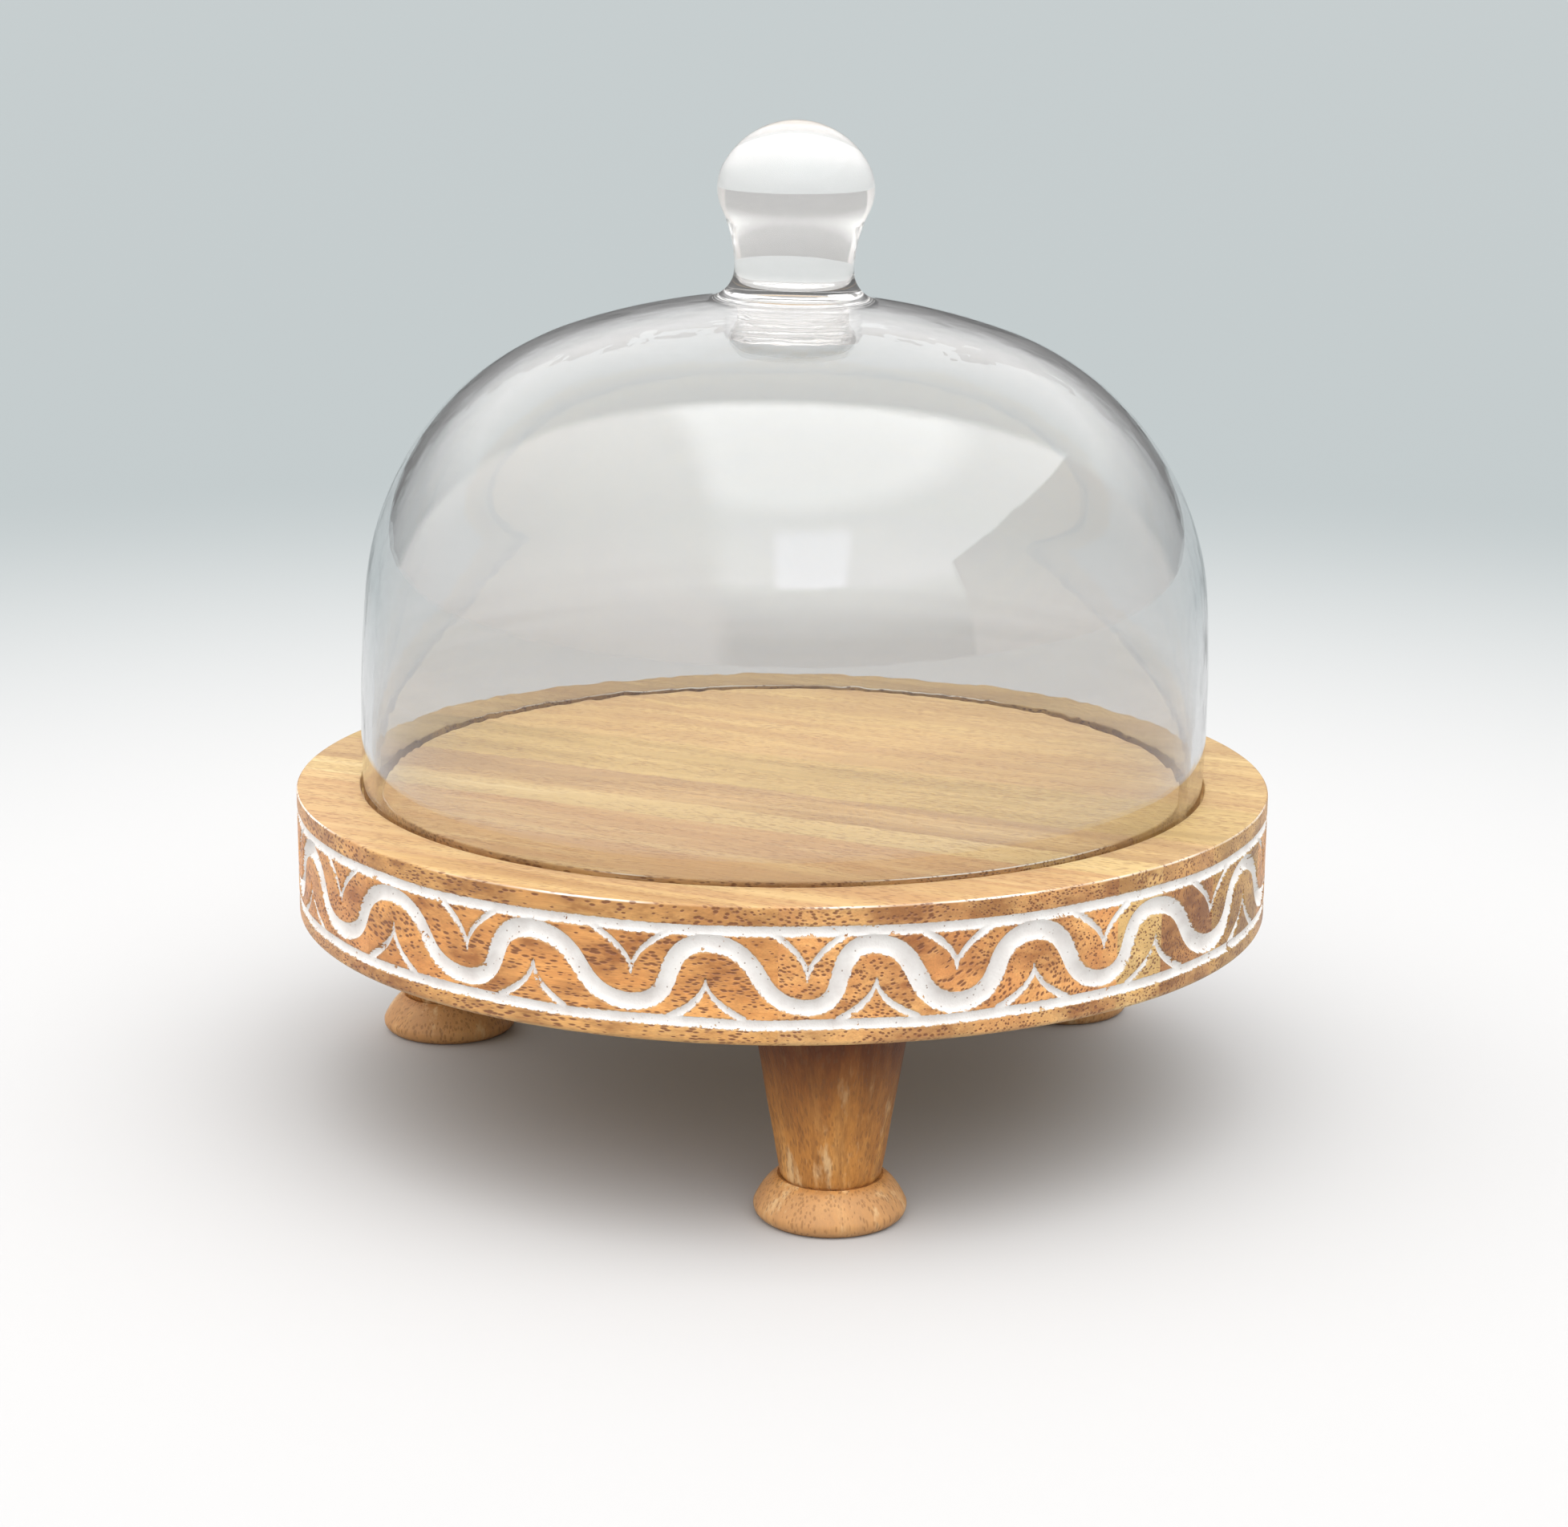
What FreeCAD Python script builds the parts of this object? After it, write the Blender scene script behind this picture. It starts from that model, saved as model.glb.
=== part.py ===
"""Pedestal cheese dome: a glued-up wooden board on three turned legs, under a glass dome with a knob.

Millimetres. +Z is up. The origin is on the table, under the middle of the board, and one leg points to -Y.
"""
import FreeCAD, Part
import math
import os

from FreeCAD import Placement, Rotation, Vector

# Board
BOARD_RADIUS = 150.0
BOARD_THICKNESS = 39.4
LEG_HEIGHT = 59.4
BOARD_TOP = LEG_HEIGHT + BOARD_THICKNESS
TOP_ARRIS = 0.8
LOWER_ROUND = 1.6

# Ring groove in the board's top, where the glass stands
GROOVE_OUTER_RADIUS = 130.6
GROOVE_INNER_RADIUS = 123.8
GROOVE_DEPTH = 5.0

# Two shallow turned lines that border the carved band, as depths below the board's top
LINE_DEPTHS = (7.2, 33.0)
LINE_WIDTH = 3.1
LINE_SINK = 0.9

# Glued staves: the grain's direction from +X, and the joints' distances across the grain from the middle
GRAIN_DEGREES = -33.0
STAVE_JOINTS = (-135.0, -64.0, -47.0, -21.0, 20.0, 75.0)

# Legs
LEG_CIRCLE_RADIUS = 119.7
LEG_NAMES = ("front", "right", "left")
SHANK_TOP_RADIUS = 22.4
SHANK_FOOT_RADIUS = 14.5
FOOT_HEIGHT = 12.0
FOOT_RADIUS = 21.8
FOOT_WIDEST_HEIGHT = 4.4
FOOT_BASE_RADIUS = 20.6
FOOT_SHOULDER_RADIUS = 15.2
FOOT_LOW_BULGE = (21.5, 1.8)
FOOT_HIGH_BULGE = (19.7, 9.3)
NECK_CUT_RADIUS = 13.9
NECK_CUT_DROP = 0.6

# M8 hanger bolts and their threaded inserts, with threads as plain cylinders
THREAD_PITCH = 1.25
THREAD_TURNS = 12
BOLT_RADIUS = 4.0
BOLT_CHAMFER = 0.8
BOLT_RISE = THREAD_PITCH * THREAD_TURNS + 0.5
SCREW_RADIUS = 3.6
SCREW_LENGTH = 30.0
SCREW_TIP_LENGTH = 5.0
SCREW_HOLE_SPARE = 0.5
RUNNING_CLEARANCE = 0.05
INSERT_RADIUS = 6.0
INSERT_LENGTH = 15.0
INSERT_FLANGE_RADIUS = 8.0
INSERT_FLANGE_THICKNESS = 1.2
TAP_HOLE_RADIUS = 4.5
TAP_HOLE_DEPTH = 20.0

# Glass dome: three tangent arcs (wall, shoulder, crown) in the outer outline
DOME_RADIUS = 130.4
DOME_WIDEST_RISE = 20.6
DOME_HEIGHT = 149.0
WALL_ARC_RADIUS = 450.0
SHOULDER_ARC_RADIUS = 90.6
CROWN_ARC_RADIUS = 210.0
GLASS_THICKNESS = 3.5
LIP_GAP = 0.3

# Hollow glass knob
KNOB_HEIGHT = 200.2
KNOB_TOP_RADIUS = 25.1
KNOB_SIDE_RADIUS = 14.6
KNOB_SIDE_OFFSET = 9.3
KNOB_NECK_RADIUS = 18.3
KNOB_NECK_RISE = 7.0
KNOB_GLASS_THICKNESS = 3.0
KNOB_EDGE_THICKNESS = 0.4

AXIS = Vector(0, 0, 1)
ORIGIN = Vector(0, 0, 0)
CROWN_Z = BOARD_TOP + DOME_HEIGHT


def at(radius, z):
    """A point of a turned outline, in the XZ plane."""
    return Vector(radius, 0, z)


def towards(centre, target, distance):
    """The point at a distance from one point towards another."""
    step = target.sub(centre)
    step.normalize()
    return centre.add(step * distance)


def line(start, end):
    return Part.LineSegment(start, end).toShape()


def arc(centre, start, end):
    """The shorter arc from start to end about a centre."""
    middle = (start.add(end)) * 0.5
    return Part.Arc(start, towards(centre, middle, start.distanceToPoint(centre)), end).toShape()


def turned(edges):
    """The solid of revolution of a closed outline."""
    face = Part.Face(Part.Wire(edges))
    return face.revolve(ORIGIN, AXIS, 360)


def plain_turned(points):
    """The solid of revolution of a straight-sided outline, given as (radius, z) pairs."""
    corners = [at(radius, z) for radius, z in points]
    return turned([line(a, b) for a, b in zip(corners, corners[1:] + corners[:1])])


def meeting_point(centre_a, radius_a, centre_b, radius_b):
    """Where two circles of the XZ plane meet, on the side away from the axis."""
    across = centre_b.sub(centre_a)
    distance = across.Length
    along = (radius_a ** 2 - radius_b ** 2 + distance ** 2) / (2 * distance)
    offset = math.sqrt(radius_a ** 2 - along ** 2)
    across.normalize()
    foot = centre_a.add(across * along)
    return foot.add(Vector(-across.z, 0, across.x) * math.copysign(offset, -across.z))


# ---------------------------------------------------------------- board

def turned_line_cove(depth):
    """The two edges of one shallow round groove in the rim, from its upper lip to its lower lip."""
    upper = at(BOARD_RADIUS, BOARD_TOP - depth + LINE_WIDTH / 2)
    deepest = at(BOARD_RADIUS - LINE_SINK, BOARD_TOP - depth)
    lower = at(BOARD_RADIUS, BOARD_TOP - depth - LINE_WIDTH / 2)
    return upper, Part.Arc(upper, deepest, lower).toShape(), lower


def board_blank():
    """The whole turned board, with its ring groove and the two rim lines."""
    floor = BOARD_TOP - GROOVE_DEPTH
    inner = [at(0, LEG_HEIGHT), at(0, BOARD_TOP), at(GROOVE_INNER_RADIUS, BOARD_TOP), at(GROOVE_INNER_RADIUS, floor)]
    outer = [at(GROOVE_OUTER_RADIUS, floor), at(GROOVE_OUTER_RADIUS, BOARD_TOP)]
    arris = [at(BOARD_RADIUS - TOP_ARRIS, BOARD_TOP), at(BOARD_RADIUS, BOARD_TOP - TOP_ARRIS)]
    corners = inner + outer + arris
    edges = [line(a, b) for a, b in zip(corners, corners[1:])]
    last = corners[-1]
    for depth in LINE_DEPTHS:
        upper, cove, lower = turned_line_cove(depth)
        edges += [line(last, upper), cove]
        last = lower
    round_top = at(BOARD_RADIUS, LEG_HEIGHT + LOWER_ROUND)
    round_end = at(BOARD_RADIUS - LOWER_ROUND, LEG_HEIGHT)
    round_centre = at(BOARD_RADIUS - LOWER_ROUND, LEG_HEIGHT + LOWER_ROUND)
    edges += [line(last, round_top), arc(round_centre, round_top, round_end), line(round_end, corners[0])]
    return turned(edges)


def insert_hole():
    """The stepped hole for one threaded insert, bored up from the board's underside."""
    return plain_turned([
        (0, LEG_HEIGHT),
        (INSERT_FLANGE_RADIUS, LEG_HEIGHT),
        (INSERT_FLANGE_RADIUS, LEG_HEIGHT + INSERT_FLANGE_THICKNESS),
        (INSERT_RADIUS, LEG_HEIGHT + INSERT_FLANGE_THICKNESS),
        (INSERT_RADIUS, LEG_HEIGHT + INSERT_LENGTH),
        (TAP_HOLE_RADIUS, LEG_HEIGHT + INSERT_LENGTH),
        (TAP_HOLE_RADIUS, LEG_HEIGHT + TAP_HOLE_DEPTH),
        (0, LEG_HEIGHT + TAP_HOLE_DEPTH),
    ])


def stave_slab(low, high):
    """The full-height slab between two glue joints, along the grain."""
    reach = 2 * BOARD_RADIUS
    slab = Part.makeBox(2 * reach, high - low, BOARD_THICKNESS, Vector(-reach, low, LEG_HEIGHT))
    slab.Placement = Placement(ORIGIN, Rotation(AXIS, GRAIN_DEGREES)).multiply(slab.Placement)
    return slab


def staves():
    """The board's staves, numbered from the front to the back."""
    blank = board_blank()
    for place in leg_places():
        blank = blank.cut(placed(insert_hole(), place))
    limits = (-2 * BOARD_RADIUS,) + STAVE_JOINTS + (2 * BOARD_RADIUS,)
    return {
        f"stave_{number}": blank.common(stave_slab(low, high))
        for number, (low, high) in enumerate(zip(limits, limits[1:]), start=1)
    }


# ---------------------------------------------------------------- legs

def leg_places():
    """One placement for each leg: -Y, then the other two at 120 degree steps."""
    places = []
    for number in range(len(LEG_NAMES)):
        angle = math.radians(-90 + 120 * number)
        centre = Vector(LEG_CIRCLE_RADIUS * math.cos(angle), LEG_CIRCLE_RADIUS * math.sin(angle), 0)
        places.append(Placement(centre, Rotation()))
    return places


def placed(shape, place):
    copy = shape.copy()
    copy.Placement = place.multiply(copy.Placement)
    return copy


def leg():
    """A tapered shank on a bead foot, with a blind hole for the hanger bolt's wood screw."""
    hole_radius = SCREW_RADIUS + RUNNING_CLEARANCE
    hole_floor = LEG_HEIGHT - SCREW_LENGTH - SCREW_HOLE_SPARE
    base = at(FOOT_BASE_RADIUS, 0)
    widest = at(FOOT_RADIUS, FOOT_WIDEST_HEIGHT)
    shoulder = at(FOOT_SHOULDER_RADIUS, FOOT_HEIGHT)
    neck = at(NECK_CUT_RADIUS, FOOT_HEIGHT - NECK_CUT_DROP)
    shank_foot = at(SHANK_FOOT_RADIUS, FOOT_HEIGHT + NECK_CUT_DROP)
    shank_top = at(SHANK_TOP_RADIUS, LEG_HEIGHT)
    return turned([
        line(at(0, 0), base),
        Part.Arc(base, at(*FOOT_LOW_BULGE), widest).toShape(),
        Part.Arc(widest, at(*FOOT_HIGH_BULGE), shoulder).toShape(),
        line(shoulder, neck),
        line(neck, shank_foot),
        line(shank_foot, shank_top),
        line(shank_top, at(hole_radius, LEG_HEIGHT)),
        line(at(hole_radius, LEG_HEIGHT), at(hole_radius, hole_floor)),
        line(at(hole_radius, hole_floor), at(0, hole_floor)),
        line(at(0, hole_floor), at(0, 0)),
    ])


def hanger_bolt():
    """A stud with a machine thread above the board's underside and a pointed wood screw below it."""
    tip = LEG_HEIGHT - SCREW_LENGTH
    head = LEG_HEIGHT + BOLT_RISE
    return plain_turned([
        (0, tip),
        (SCREW_RADIUS, tip + SCREW_TIP_LENGTH),
        (SCREW_RADIUS, LEG_HEIGHT),
        (BOLT_RADIUS, LEG_HEIGHT),
        (BOLT_RADIUS, head - BOLT_CHAMFER),
        (BOLT_RADIUS - BOLT_CHAMFER, head),
        (0, head),
    ])


def threaded_insert():
    """A flanged sleeve, flush with the board's underside."""
    bore = BOLT_RADIUS + RUNNING_CLEARANCE
    return plain_turned([
        (bore, LEG_HEIGHT),
        (INSERT_FLANGE_RADIUS, LEG_HEIGHT),
        (INSERT_FLANGE_RADIUS, LEG_HEIGHT + INSERT_FLANGE_THICKNESS),
        (INSERT_RADIUS, LEG_HEIGHT + INSERT_FLANGE_THICKNESS),
        (INSERT_RADIUS, LEG_HEIGHT + INSERT_LENGTH),
        (bore, LEG_HEIGHT + INSERT_LENGTH),
    ])


def leg_sets():
    """Each leg with its bolt and its insert."""
    parts = {}
    for name, place in zip(LEG_NAMES, leg_places()):
        parts[f"leg_{name}"] = placed(leg(), place)
        parts[f"hanger_bolt_{name}"] = placed(hanger_bolt(), place)
        parts[f"threaded_insert_{name}"] = placed(threaded_insert(), place)
    return parts


# ---------------------------------------------------------------- glass

def dome_centres():
    """The centres of the dome's wall, shoulder and crown arcs, which are shared by both faces of the glass."""
    wall = at(DOME_RADIUS - WALL_ARC_RADIUS, BOARD_TOP + DOME_WIDEST_RISE)
    crown = at(0, CROWN_Z - CROWN_ARC_RADIUS)
    shoulder = meeting_point(
        crown, CROWN_ARC_RADIUS - SHOULDER_ARC_RADIUS, wall, WALL_ARC_RADIUS - SHOULDER_ARC_RADIUS
    )
    return wall, shoulder, crown


def dome_outline(inset, lip_z):
    """One face of the glass, from the lip up to the crown, as arcs set in by a distance."""
    wall, shoulder, crown = dome_centres()
    reach = WALL_ARC_RADIUS - inset
    lip = at(wall.x + math.sqrt(reach ** 2 - (lip_z - wall.z) ** 2), lip_z)
    spring = towards(wall, shoulder, reach)
    haunch = towards(crown, shoulder, CROWN_ARC_RADIUS - inset)
    top = at(0, CROWN_Z - inset)
    return lip, top, [arc(wall, lip, spring), arc(shoulder, spring, haunch), arc(crown, haunch, top)]


def glass_dome():
    """The bell, of even thickness, with a rounded lip that stands in the groove."""
    lip_z = BOARD_TOP - GROOVE_DEPTH + LIP_GAP + GLASS_THICKNESS / 2
    outer_lip, outer_top, outer_edges = dome_outline(0, lip_z)
    inner_lip, inner_top, inner_edges = dome_outline(GLASS_THICKNESS, lip_z)
    lip_middle = (outer_lip.add(inner_lip)) * 0.5
    lowest = at(lip_middle.x, lip_z - GLASS_THICKNESS / 2)
    lip = Part.Arc(outer_lip, lowest, inner_lip).toShape()
    return turned([lip] + inner_edges + [line(inner_top, outer_top)] + outer_edges)


def glass_knob():
    """The hollow knob: a flared foot on the crown, a narrow neck and a ball, with an even wall."""
    crown = at(0, CROWN_Z - CROWN_ARC_RADIUS)
    top = at(0, BOARD_TOP + KNOB_HEIGHT)
    top_centre = at(0, top.z - KNOB_TOP_RADIUS)
    side_rise = math.sqrt((KNOB_TOP_RADIUS - KNOB_SIDE_RADIUS) ** 2 - KNOB_SIDE_OFFSET ** 2)
    side_centre = at(KNOB_SIDE_OFFSET, top_centre.z + side_rise)
    neck = at(KNOB_NECK_RADIUS, CROWN_Z + KNOB_NECK_RISE)

    # The neck's arc has its centre level with the narrowest point and touches the ball's side
    rise = side_centre.z - neck.z
    reach = neck.x - side_centre.x
    neck_arc = (rise ** 2 + reach ** 2 - KNOB_SIDE_RADIUS ** 2) / (2 * (KNOB_SIDE_RADIUS - reach))
    neck_centre = at(neck.x + neck_arc, neck.z)

    # The foot's arc has its centre level with the narrowest point and touches the crown
    height = neck.z - crown.z
    foot_arc = (neck.x ** 2 + height ** 2 - CROWN_ARC_RADIUS ** 2) / (2 * (CROWN_ARC_RADIUS - neck.x))
    foot_centre = at(neck.x + foot_arc, neck.z)

    # The foot stops where it is still this thick, on the crown
    edge_high = meeting_point(crown, CROWN_ARC_RADIUS + KNOB_EDGE_THICKNESS, foot_centre, foot_arc)
    edge_low = towards(crown, edge_high, CROWN_ARC_RADIUS)

    wall = KNOB_GLASS_THICKNESS
    ball_join = towards(side_centre, neck_centre, KNOB_SIDE_RADIUS)
    ball_crown = towards(top_centre, side_centre, KNOB_TOP_RADIUS)
    inner_join = towards(side_centre, neck_centre, KNOB_SIDE_RADIUS - wall)
    inner_crown = towards(top_centre, side_centre, KNOB_TOP_RADIUS - wall)
    inner_neck = at(neck.x - wall, neck.z)
    inner_top = at(0, top.z - wall)
    floor_edge = at(inner_neck.x, crown.z + math.sqrt(CROWN_ARC_RADIUS ** 2 - inner_neck.x ** 2))
    return turned([
        arc(crown, floor_edge, edge_low),
        line(edge_low, edge_high),
        arc(foot_centre, edge_high, neck),
        arc(neck_centre, neck, ball_join),
        arc(side_centre, ball_join, ball_crown),
        arc(top_centre, ball_crown, top),
        line(top, inner_top),
        arc(top_centre, inner_top, inner_crown),
        arc(side_centre, inner_crown, inner_join),
        arc(neck_centre, inner_join, inner_neck),
        line(inner_neck, floor_edge),
    ])


def main():
    os.makedirs("parts", exist_ok=True)
    parts = {**staves(), **leg_sets(), "glass_dome": glass_dome(), "glass_knob": glass_knob()}
    for name, shape in parts.items():
        box = shape.BoundBox
        print(f"{name}: valid {shape.isValid()}, solids {len(shape.Solids)}, volume {shape.Volume:.0f} mm3,"
              f" z {box.ZMin:.2f} to {box.ZMax:.2f}")
        shape.exportStep(f"parts/{name}.step")


main()
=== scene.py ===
"""Looks of the pedestal cheese dome: carved and painted wood, blown glass, leg screws and a plain room.

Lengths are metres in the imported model's frame: +Z up, the origin on the table, one leg towards -Y.
Azimuths are degrees about +Z, counted from -Y and positive towards +X. Carving sizes are in millimetres.
"""
import math

import bmesh
import bpy
import numpy as np
from mathutils import Matrix, Vector, noise


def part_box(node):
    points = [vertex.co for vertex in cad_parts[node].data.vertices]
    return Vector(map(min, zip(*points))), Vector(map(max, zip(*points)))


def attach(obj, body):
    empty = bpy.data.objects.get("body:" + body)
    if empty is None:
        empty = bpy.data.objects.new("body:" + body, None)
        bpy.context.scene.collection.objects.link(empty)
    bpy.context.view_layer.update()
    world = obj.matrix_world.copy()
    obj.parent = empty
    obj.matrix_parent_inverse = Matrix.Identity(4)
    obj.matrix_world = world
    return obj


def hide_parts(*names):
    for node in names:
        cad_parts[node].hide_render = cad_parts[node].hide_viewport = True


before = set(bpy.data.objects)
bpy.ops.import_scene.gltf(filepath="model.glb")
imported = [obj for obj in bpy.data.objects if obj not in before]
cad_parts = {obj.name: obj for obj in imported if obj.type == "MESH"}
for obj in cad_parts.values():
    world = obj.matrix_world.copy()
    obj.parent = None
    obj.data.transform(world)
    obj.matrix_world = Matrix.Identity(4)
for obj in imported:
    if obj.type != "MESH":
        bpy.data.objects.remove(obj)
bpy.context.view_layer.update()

MM = 0.001
LEG_NAMES = ("front", "right", "left")
STAVE_COUNT = 7

# ---------------------------------------------------------------- sizes

BOARD_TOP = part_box("stave_2")[1][2]
BOARD_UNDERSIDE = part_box("stave_2")[0][2]
BOARD_RADIUS = 149.98 * MM
TOP_ARRIS = 0.8 * MM
LOWER_ROUND = 1.6 * MM
GROOVE_RADII = (123.8 * MM, 130.6 * MM)
GROOVE_DEPTH = 5.0 * MM
EDGE_WEAR = 0.5 * MM

GRAIN_DEGREES = -33.0
STAVE_JOINTS = tuple(distance * MM for distance in (-135.0, -64.0, -47.0, -21.0, 20.0, 75.0))

INSERT_HOLE = ((8.0, 0.0), (8.0, 1.2), (6.0, 1.2), (6.0, 15.0), (4.5, 15.0), (4.5, 20.0))

# Carved band, in millimetres; depths are counted down from the board's top
WAVE_COUNT = 19
WAVE_AZIMUTH = 2.65
WAVE_DRIFT = 2.3
CREST_DEPTH = 11.0
TROUGH_DEPTH = 28.6
RIBBON_HALF_WIDTH = 2.75
RIBBON_SINK = 1.9
LINE_DEPTHS = (7.2, 33.2)
LINE_HALF_WIDTH = 1.6
LINE_SINK = 0.9
UPPER_DART = {"tip": 20.3, "base": 8.4, "spread": 9.6}
LOWER_DART = {"tip": 20.2, "base": 31.9, "spread": 11.0}
DART_SINK = 0.9
PAINT_FAR = 6.0


def in_quick(full_value):
    return full_value


COLUMNS = in_quick(2280)
BAND_STEP = in_quick(0.4)

# ---------------------------------------------------------------- mesh helpers


def new_piece(name, mesh, body, nodes):
    """A finished mesh as a piece that rides on a body and stands for CAD nodes."""
    piece = bpy.data.objects.new(name, mesh)
    bpy.context.scene.collection.objects.link(piece)
    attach(piece, body)
    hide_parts(*nodes)
    return piece


def shade(mesh, sharp_degrees):
    mesh.polygons.foreach_set("use_smooth", [True] * len(mesh.polygons))
    mesh.set_sharp_from_angle(angle=math.radians(sharp_degrees))


def ring_faces(rows, columns):
    """Quads between neighbouring rows of a ring-shaped grid."""
    row, column = np.meshgrid(np.arange(rows - 1), np.arange(columns), indexing="ij")
    following = (column + 1) % columns
    corners = (row * columns + column, row * columns + following)
    below = ((row + 1) * columns + following, (row + 1) * columns + column)
    return np.stack(corners + below, axis=-1).reshape(-1, 4)


def ring_points(radii, heights, columns):
    """The points of a turned surface, row by row; radii may be one value a row or one value a point."""
    angles = np.linspace(0, 2 * math.pi, columns, endpoint=False)
    radii = np.broadcast_to(np.asarray(radii, float).reshape(len(heights), -1), (len(heights), columns))
    x = radii * np.sin(angles)
    y = -radii * np.cos(angles)
    z = np.broadcast_to(np.asarray(heights, float)[:, None], x.shape)
    return np.stack((x, y, z), axis=-1).reshape(-1, 3)


def arc_points(centre, start, end, count):
    """Points of the shorter arc from start to end about a centre, without its start."""
    first = math.atan2(start[1] - centre[1], start[0] - centre[0])
    last = math.atan2(end[1] - centre[1], end[0] - centre[0])
    turn = (last - first + math.pi) % (2 * math.pi) - math.pi
    radius = math.hypot(start[0] - centre[0], start[1] - centre[1])
    angles = [first + turn * (step + 1) / count for step in range(count)]
    return [(centre[0] + radius * math.cos(a), centre[1] + radius * math.sin(a)) for a in angles]


def straight_points(start, end, count):
    """Evenly spaced points of a straight stretch, without its start."""
    return [
        tuple(a + (b - a) * (step + 1) / count for a, b in zip(start, end))
        for step in range(count)
    ]


def turned_mesh(name, outlines, columns, bend=None):
    """One mesh of turned surfaces, each a list of (radius, z) whose ends close on the axis."""
    points, faces = [], []
    for outline in outlines:
        ring = [pair for pair in outline if pair[0] > 1e-7]
        start = len(points)
        points += ring_points([r for r, z in ring], [z for r, z in ring], columns).tolist()
        faces += (ring_faces(len(ring), columns) + start).tolist()
        last_row = start + (len(ring) - 1) * columns
        for pole, row in ((outline[0], start), (outline[-1], last_row)):
            loop = [row + column for column in range(columns)]
            hub = len(points)
            points.append([0.0, 0.0, pole[1]])
            fan = [[hub, a, b] for a, b in zip(loop, loop[1:] + loop[:1])]
            faces += fan if row == last_row else [face[::-1] for face in fan]
    if bend:
        points = [bend(Vector(point)) for point in points]
    mesh = bpy.data.meshes.new(name)
    mesh.from_pydata([tuple(point) for point in points], [], faces)
    return mesh


def outward(mesh):
    """Turns every face of a closed mesh outwards."""
    work = bmesh.new()
    work.from_mesh(mesh)
    bmesh.ops.recalc_face_normals(work, faces=work.faces)
    work.to_mesh(mesh)
    work.free()


# ---------------------------------------------------------------- shader helpers


class Shader:
    """The node tree of a new material or world under construction; each call adds a node."""

    def __init__(self, owner):
        self.owner = owner
        owner.use_nodes = True
        self.tree = owner.node_tree
        self.tree.nodes.clear()

    def plug(self, socket, value):
        if isinstance(value, bpy.types.NodeSocket):
            self.tree.links.new(value, socket)
        else:
            socket.default_value = value

    def node(self, kind, inputs, **settings):
        node = self.tree.nodes.new("ShaderNode" + kind)
        for key, value in settings.items():
            setattr(node, key, value)
        for key, value in inputs.items():
            self.plug(node.inputs[key], value)
        return node

    def math(self, operation, first, second=0.0, third=0.0):
        inputs = {0: first, 1: second, 2: third}
        return self.node("Math", inputs, operation=operation).outputs[0]

    def band(self, value, low, high, bottom=0.0, top=1.0):
        """A smooth step from bottom to top as the value goes from low to high."""
        inputs = {"Value": value, "From Min": low, "From Max": high, "To Min": bottom, "To Max": top}
        return self.node("MapRange", inputs, interpolation_type="SMOOTHSTEP").outputs[0]

    def span(self, value, rise, fall):
        """1 between the smooth steps up and down, and 0 outside them."""
        return self.math("MULTIPLY", self.band(value, *rise), self.band(value, *fall, 1.0, 0.0))

    def mix(self, factor, first, second, blend="MIX"):
        inputs = {"Fac": factor, "Color1": first, "Color2": second}
        return self.node("MixRGB", inputs, blend_type=blend).outputs[0]

    def ramp(self, factor, stops):
        node = self.node("ValToRGB", {"Fac": factor})
        elements = node.color_ramp.elements
        while len(elements) < len(stops):
            elements.new(0.5)
        for element, (position, colour) in zip(elements, stops):
            element.position = position
            element.color = (*colour, 1.0)
        return node.outputs["Color"]

    def coordinates(self, kind="Object"):
        return self.tree.nodes.new("ShaderNodeTexCoord").outputs[kind]

    def split(self, vector):
        return self.node("SeparateXYZ", {0: vector}).outputs

    def moved(self, vector, location=(0, 0, 0), rotation=(0, 0, 0), scale=(1, 1, 1)):
        inputs = {"Vector": vector, "Location": location, "Rotation": rotation, "Scale": scale}
        return self.node("Mapping", inputs).outputs[0]

    def noise(self, vector, scale, detail=2.0, roughness=0.5):
        """Noise over a vector; the scale is one number, or one for each axis, per metre."""
        if not isinstance(scale, (int, float)):
            vector = self.moved(vector, scale=scale)
            scale = 1.0
        inputs = {"Vector": vector, "Scale": scale, "Detail": detail, "Roughness": roughness}
        return self.node("TexNoise", inputs).outputs["Fac"]

    def cells(self, vector, scale):
        """The distance to the nearest of scattered points; the scale has one number for each axis."""
        placed = self.moved(vector, scale=scale)
        return self.node("TexVoronoi", {"Vector": placed, "Scale": 1.0}).outputs["Distance"]

    def bump(self, height, distance, strength=1.0):
        inputs = {"Height": height, "Distance": distance, "Strength": strength}
        return self.node("Bump", inputs).outputs[0]

    def finish(self, **inputs):
        """Closes the tree with a Principled shader."""
        sockets = {key.replace("_", " "): value for key, value in inputs.items()}
        shader = self.node("BsdfPrincipled", sockets)
        self.node("OutputMaterial", {"Surface": shader.outputs[0]})
        return self.owner


def new_shader(name):
    return Shader(bpy.data.materials.new(name))


def grey(value):
    return (value,) * 3


# ---------------------------------------------------------------- wood


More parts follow.
